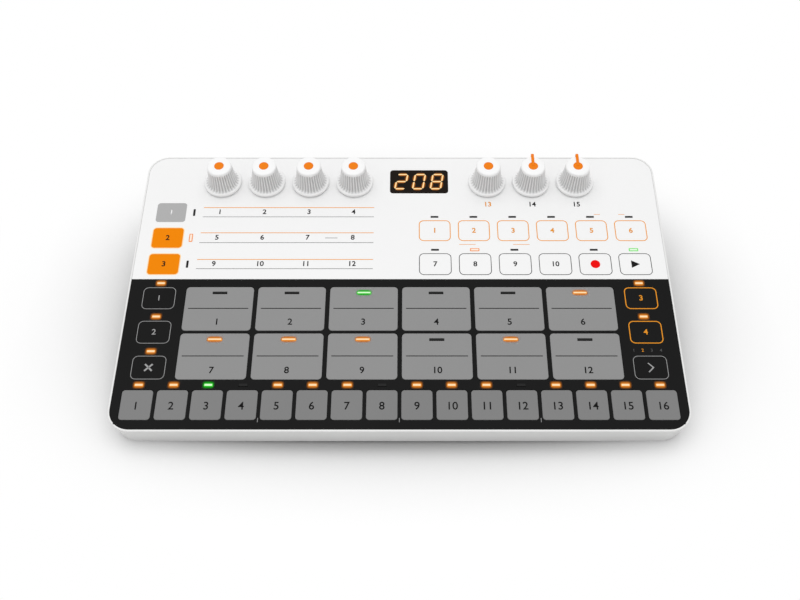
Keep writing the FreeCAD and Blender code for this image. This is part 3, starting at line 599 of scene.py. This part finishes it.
# Painted light: faint glowing tiles round the lit bars stand for the light they spill onto the print.
for state, code, power in (("orange", "#FF9632", 0.68), ("green", "#25D02A", 0.7)):
    halo = glow(state + "_light_spill", code, power, 0.4, 0.5)
    halos = [
        outline(x, u, width + 2 * halo_margin_x, length + 2 * halo_margin_u)
        for x, u, width, length, kind in lights if kind == state
    ]
    lay_prints(state + "_light_spill", halos, halo, lift=halo_lift, thickness=halo_thickness)

# Display: a smoked acrylic lens over a three-digit LED block. The lit segments are amber and
# slanted, brightest along their middle, with painted brown glow close round them on the dark lens.
lens = moulded("smoked_acrylic_lens", "#1A120B", "#150E08", 0.12, 2.0, 0.0, 0.08)
finish("display_window", lens)
finish("display_module", moulded("black_display_block", "#202020", "#1A1A1A", 0.5, 0.4, 0.2))
digit_width, digit_height, slant, joint_gap = 5.0, 9.0, 0.16, 0.2
digit_pitch, digit_u = 8.9, 60.1


def segment(x, u, start, end, stroke):
    """One bar of a digit between two corners of its frame, with pointed ends, then slanted."""
    (x1, u1), (x2, u2) = start, end
    length = math.hypot(x2 - x1, u2 - u1)
    along = Vector(((x2 - x1) / length, (u2 - u1) / length))
    side = Vector((-along.y, along.x)) * stroke / 2
    tip, shoulder = along * joint_gap, along * (joint_gap + stroke / 2)
    first, last = Vector(start), Vector(end)
    corners = [
        first + tip, first + shoulder - side, last - shoulder - side,
        last - tip, last - shoulder + side, first + shoulder + side,
    ]
    return polygon(x, u, [(corner.x + corner.y * slant, corner.y) for corner in corners])


half_w, half_h = digit_width / 2, digit_height / 2
bar_ends = {
    "a": ((-half_w, half_h), (half_w, half_h)), "b": ((half_w, half_h), (half_w, 0)),
    "c": ((half_w, 0), (half_w, -half_h)), "d": ((-half_w, -half_h), (half_w, -half_h)),
    "e": ((-half_w, 0), (-half_w, -half_h)), "f": ((-half_w, half_h), (-half_w, 0)),
    "g": ((-half_w, 0), (half_w, 0)),
}
shown_digits = ("abged", "abcdef", "abcdefg")
display_x = (node_centre("display_window") / MM).x
# The wide dim brown bars are painted glow, standing in for the segments' light inside the lens.
for name, light_name, code, stroke, lift in (
    ("display_digits", "amber_segments", "#F7952A", 1.1, 0.1 * MM),
    ("display_digit_cores", "amber_segment_cores", "#FFE7B0", 0.55, 0.14 * MM),
    ("display_glow", "amber_segment_glow", "#5A3206", 2.3, 0.06 * MM),
):
    bars = [
        segment(display_x + digit_pitch * place, digit_u, *bar_ends[bar], stroke)
        for place, digit in zip((-1, 0, 1), shown_digits) for bar in digit
    ]
    lay_prints(name, bars, lamp(light_name, code), lift=lift)

# Rubber feet: soft black discs, pressed into wells of the floor. The rubber is dull and slightly
# dusty, so it stays dark without any highlight.
rubber = moulded("black_foot_rubber", "#1C1C1C", "#262524", 0.75, 0.6, 0.5, 0.25)
finish("feet", rubber)


# Hidden works: silicone spring mat, laminate boards with copper tracks under green lacquer,
# nickel-plated controls and contacts, and the cells in their printed jackets.
def laminate(name):
    """Green solder lacquer over tracks, which show as slightly paler lines."""
    material, tree, shader = new_material(name)
    place = add_node(tree, "ShaderNodeTexCoord").outputs["Object"]
    tracks = add_node(tree, "ShaderNodeTexBrick", {
        "Scale": 1 / (9 * MM), "Mortar Size": 0.03, "Mortar Smooth": 0.2,
    }, Vector=place)
    tracks.inputs["Color1"].default_value = colour("#0E4A2A")
    tracks.inputs["Color2"].default_value = colour("#0F4E2D")
    tracks.inputs["Mortar"].default_value = colour("#2C7A4A")
    tree.links.new(tracks.outputs["Color"], shader.inputs["Base Color"])
    relief = add_node(tree, "ShaderNodeBump", {
        "Strength": 0.3, "Distance": 0.05 * MM,
    }, Height=tracks.outputs["Fac"])
    tree.links.new(relief.outputs[0], shader.inputs["Normal"])
    shader.inputs["Roughness"].default_value = 0.35
    return material


drawn_length, drawn_width = 4 * MM, 0.15 * MM


def plated(name, code, roughness):
    """Plated metal with fine drawn lines and uneven lustre."""
    material, tree, shader = new_material(name)
    place = add_node(tree, "ShaderNodeTexCoord").outputs["Object"]
    stretch = add_node(tree, "ShaderNodeMapping", {
        "Scale": (1 / drawn_length, 1 / drawn_width, 1 / drawn_width),
    }, Vector=place)
    lines = add_node(tree, "ShaderNodeTexNoise", {"Scale": 1.0, "Detail": 3.0}, Vector=stretch.outputs[0])
    lustre = add_node(tree, "ShaderNodeMapRange", {
        "To Min": roughness - 0.08, "To Max": roughness + 0.12,
    }, Value=lines.outputs["Fac"])
    tree.links.new(lustre.outputs[0], shader.inputs["Roughness"])
    relief = add_node(tree, "ShaderNodeBump", {
        "Strength": 0.15, "Distance": 0.01 * MM,
    }, Height=lines.outputs["Fac"])
    tree.links.new(relief.outputs[0], shader.inputs["Normal"])
    shader.inputs["Base Color"].default_value = colour(code)
    shader.inputs["Metallic"].default_value = 1.0
    return material


sleeve_end, band_end = 0.72, 0.965


def jacket(name, cell_length):
    """Shrink-wrapped cell: dark sleeve, then a copper-coloured band and bare metal at one end."""
    material, tree, shader = new_material(name)
    place = add_node(tree, "ShaderNodeTexCoord").outputs["Object"]
    axes = add_node(tree, "ShaderNodeSeparateXYZ", Vector=place)
    along = add_node(tree, "ShaderNodeMath", {"operation": "WRAP"})
    tree.links.new(axes.outputs["X"], along.inputs[0])
    along.inputs[1].default_value = cell_length
    along.inputs[2].default_value = 0.0
    bands = add_node(tree, "ShaderNodeMapRange", {"From Max": cell_length}, Value=along.outputs[0])
    ramp = add_node(tree, "ShaderNodeValToRGB", Fac=bands.outputs[0])
    ramp.color_ramp.interpolation = "CONSTANT"
    ramp.color_ramp.elements[0].color = colour("#1D1D20")
    ramp.color_ramp.elements[1].position = sleeve_end
    ramp.color_ramp.elements[1].color = colour("#B0703C")
    end = ramp.color_ramp.elements.new(band_end)
    end.color = colour("#C9C9C6")
    tree.links.new(ramp.outputs[0], shader.inputs["Base Color"])
    shader.inputs["Roughness"].default_value = 0.28
    return material


nickel = plated("nickel_plate", "#C8C6C0", 0.32)
finish("spring_mat", moulded("grey_silicone", "#7C7C7A", "#747472", 0.6, 0.8, 0.2))
finish("main_board", laminate("main_board_laminate"))
finish("socket_board", laminate("socket_board_laminate"))
finish("rotary_controls", nickel)
finish("battery_contacts", nickel)
finish("batteries", jacket("cell_jacket", 50.5 * MM))
finish("case_screws", plated("black_zinc_steel", "#4A4A4C", 0.4))

# Rear sockets: black nylon bodies behind the rear wall. Each jack bore has a turned, nickel-plated
# rim, which shows as a bright ring round a dark hole.
nylon = moulded("black_nylon", "#1B1B1B", "#161616", 0.45, 0.3, 0.2, 0.3)
finish("rear_sockets", nylon)
rim_offset, rim_radius = 0.45 * MM, 0.3 * MM
rims = []
for mount in frame["record"]["mounts"]:
    if mount["kind"] == "bore":
        radius = mount["dims"]["r_mm"] * MM
        mouth = Vector(mount["pos_m"]) + Vector((0, mount["dims"]["length_mm"] * MM / 2, 0))
        bpy.ops.object.select_all(action="DESELECT")
        bpy.ops.mesh.primitive_torus_add(
            location=(0, 0, 0), major_radius=radius + rim_offset, minor_radius=rim_radius,
            major_segments=48, minor_segments=12,
        )
        rim = bpy.context.object
        rim.data.transform(Matrix.Translation(mouth) @ Matrix.Rotation(math.radians(90), 4, "X"))
        rims.append(rim)
take(*rims)
bpy.ops.object.join()
rim_piece = bpy.context.object
rim_piece.name = rim_piece.data.name = "socket_rims"
bpy.ops.object.shade_smooth()
rim_piece.data.materials.append(nickel)
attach(rim_piece, "case")

# Power switch: a black nylon lever that slides in a slot of the rear wall, with three raised ribs
# for the fingernail. The mould leaves all its edges slightly rounded.
low, high = (Vector(corner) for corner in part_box("power_switch"))
lever_size = high - low
rib_height, rib_width, rib_pitch, rib_share = 0.25 * MM, 0.35 * MM, 0.9 * MM, 0.9
edge_round = 0.08 * MM
bpy.ops.object.select_all(action="DESELECT")
bpy.ops.mesh.primitive_cube_add(size=1.0, location=(0, 0, 0))
lever = bpy.context.object
lever.data.transform(Matrix.Diagonal((*lever_size, 1)))
ribs = [lever]
for n in (-1, 0, 1):
    bpy.ops.object.select_all(action="DESELECT")
    bpy.ops.mesh.primitive_cube_add(size=1.0, location=(0, 0, 0))
    rib = bpy.context.object
    rib_place = Matrix.Translation((n * rib_pitch, lever_size.y / 2 - rib_height, 0))
    rib_size = Matrix.Diagonal((rib_width, 2 * rib_height, lever_size.z * rib_share, 1))
    rib.data.transform(rib_place @ rib_size)
    ribs.append(rib)
shorter = Matrix.Diagonal((1, 1 - rib_height / lever_size.y, 1, 1))
lever.data.transform(Matrix.Translation((0, -rib_height / 2, 0)) @ shorter)
take(*ribs)
bpy.ops.object.join()
slider = bpy.context.object
slider.name = slider.data.name = "switch_lever"
bpy.ops.object.mode_set(mode="EDIT")
bpy.ops.mesh.select_all(action="SELECT")
bpy.ops.mesh.bevel(offset=edge_round, segments=2)
bpy.ops.object.mode_set(mode="OBJECT")
slider.data.transform(Matrix.Translation((low + high) / 2))
slider.data.materials.append(nylon)
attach(slider, "power_switch")
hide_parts("power_switch")

# Camera: a plain lens in front of the machine and above it. Its place, tilt and focal length are
# those at which the playing surface's outline falls where the photograph shows it.
photo_width = 800
focal_pixels = 991.6
axis_pixel_x = 408.3
sensor_width = 36.0
degrees_down = 49.38
camera_data = bpy.data.cameras.new("camera")
camera_data.sensor_width = sensor_width
camera_data.lens = focal_pixels * sensor_width / photo_width
camera_data.shift_x = (photo_width / 2 - axis_pixel_x) / photo_width
camera = bpy.data.objects.new("camera", camera_data)
camera.location = (3.9 * MM, -311.1 * MM, 374.2 * MM)
camera.rotation_euler = (math.radians(90 - degrees_down), 0, 0)
bpy.context.scene.collection.objects.link(camera)
bpy.context.scene.camera = camera

# Floor: a smooth pale studio table that mirrors the case a little. Its colour holds painted shade
# close to the case, darker where less sky reaches it, and to the camera it fades into plain
# white farther out.
bpy.ops.mesh.primitive_plane_add(size=6.0, location=(0, 0, 0))
floor = bpy.context.object
floor.name = "floor"
floor_material, tree, shader = new_material("white_studio_floor")
shade_reach = 60 * MM
shade_fade_start, shade_fade_end = 130 * MM, 230 * MM
fade_start, fade_end = 120 * MM, 240 * MM
case_ratio = 1.7
# Painted shade: occlusion near the case and a slightly darker band out to 230 mm dim the floor's colour.
case_occlusion = add_node(tree, "ShaderNodeAmbientOcclusion", {"samples": 16, "Distance": shade_reach})
shade = add_node(tree, "ShaderNodeMapRange", {
    "From Min": 0.5, "To Min": 0.5, "To Max": 1.0,
}, Value=case_occlusion.outputs["AO"])
place = add_node(tree, "ShaderNodeTexCoord")
squared = add_node(tree, "ShaderNodeMapping", {"Scale": (1, case_ratio, 1)}, Vector=place.outputs["Object"])
reach = add_node(tree, "ShaderNodeVectorMath", {"operation": "LENGTH"})
tree.links.new(squared.outputs[0], reach.inputs[0])
painted_shade_fade = add_node(tree, "ShaderNodeMapRange", {
    "From Min": shade_fade_start, "From Max": shade_fade_end, "To Min": 0.92, "To Max": 1.0,
}, Value=reach.outputs["Value"])
shaded_floor_tone = add_node(tree, "ShaderNodeMath", {"operation": "MULTIPLY"})
tree.links.new(shade.outputs[0], shaded_floor_tone.inputs[0])
tree.links.new(painted_shade_fade.outputs[0], shaded_floor_tone.inputs[1])
tree.links.new(shaded_floor_tone.outputs[0], shader.inputs["Base Color"])
horizon = add_node(tree, "ShaderNodeEmission")
farness = add_node(tree, "ShaderNodeMapRange", {
    "interpolation_type": "SMOOTHSTEP", "From Min": fade_start, "From Max": fade_end,
}, Value=reach.outputs["Value"])
eye = add_node(tree, "ShaderNodeLightPath")
seen_far = add_node(tree, "ShaderNodeMath", {"operation": "MULTIPLY"})
tree.links.new(eye.outputs["Is Camera Ray"], seen_far.inputs[0])
tree.links.new(farness.outputs[0], seen_far.inputs[1])
floor_mix = add_node(tree, "ShaderNodeMixShader", Fac=seen_far.outputs[0])
tree.links.new(shader.outputs[0], floor_mix.inputs[1])
tree.links.new(horizon.outputs[0], floor_mix.inputs[2])
tree.links.new(floor_mix.outputs[0], tree.nodes["Material Output"].inputs["Surface"])
shader.inputs["Roughness"].default_value = 0.15
shader.inputs["Specular IOR Level"].default_value = 0.8
floor.data.materials.append(floor_material)

# Light: an even white room at a low level, which is plain white to the camera and in reflections,
# and a large softbox overhead that draws the short soft shadows.
fill_light = 0.7
world = bpy.data.worlds.new("studio")
world.use_nodes = True
bpy.context.scene.world = world
tree = world.node_tree
rays = add_node(tree, "ShaderNodeLightPath")
seen = add_node(tree, "ShaderNodeMath", {"operation": "MAXIMUM"})
tree.links.new(rays.outputs["Is Camera Ray"], seen.inputs[0])
tree.links.new(rays.outputs["Is Glossy Ray"], seen.inputs[1])
seen_through = add_node(tree, "ShaderNodeMath", {"operation": "MAXIMUM"})
tree.links.new(seen.outputs[0], seen_through.inputs[0])
tree.links.new(rays.outputs["Is Transmission Ray"], seen_through.inputs[1])
level = add_node(tree, "ShaderNodeMapRange", {
    "To Min": fill_light, "To Max": 1.0,
}, Value=seen_through.outputs[0])
tree.nodes["Background"].inputs["Color"].default_value = (1, 1, 1, 1)
tree.links.new(level.outputs[0], tree.nodes["Background"].inputs["Strength"])

softbox_place = Vector((-0.12, 0.1, 1.4))
softbox_width, softbox_depth, softbox_watts = 1.6, 1.0, 7.8
light_data = bpy.data.lights.new("softbox", "AREA")
light_data.shape = "RECTANGLE"
light_data.size = softbox_width
light_data.size_y = softbox_depth
light_data.energy = softbox_watts
softbox = bpy.data.objects.new("softbox", light_data)
softbox.location = softbox_place
softbox.rotation_euler = (-math.atan2(softbox_place.y, softbox_place.z), 0, 0)
bpy.context.scene.collection.objects.link(softbox)

bpy.context.scene.view_settings.view_transform = "Standard"
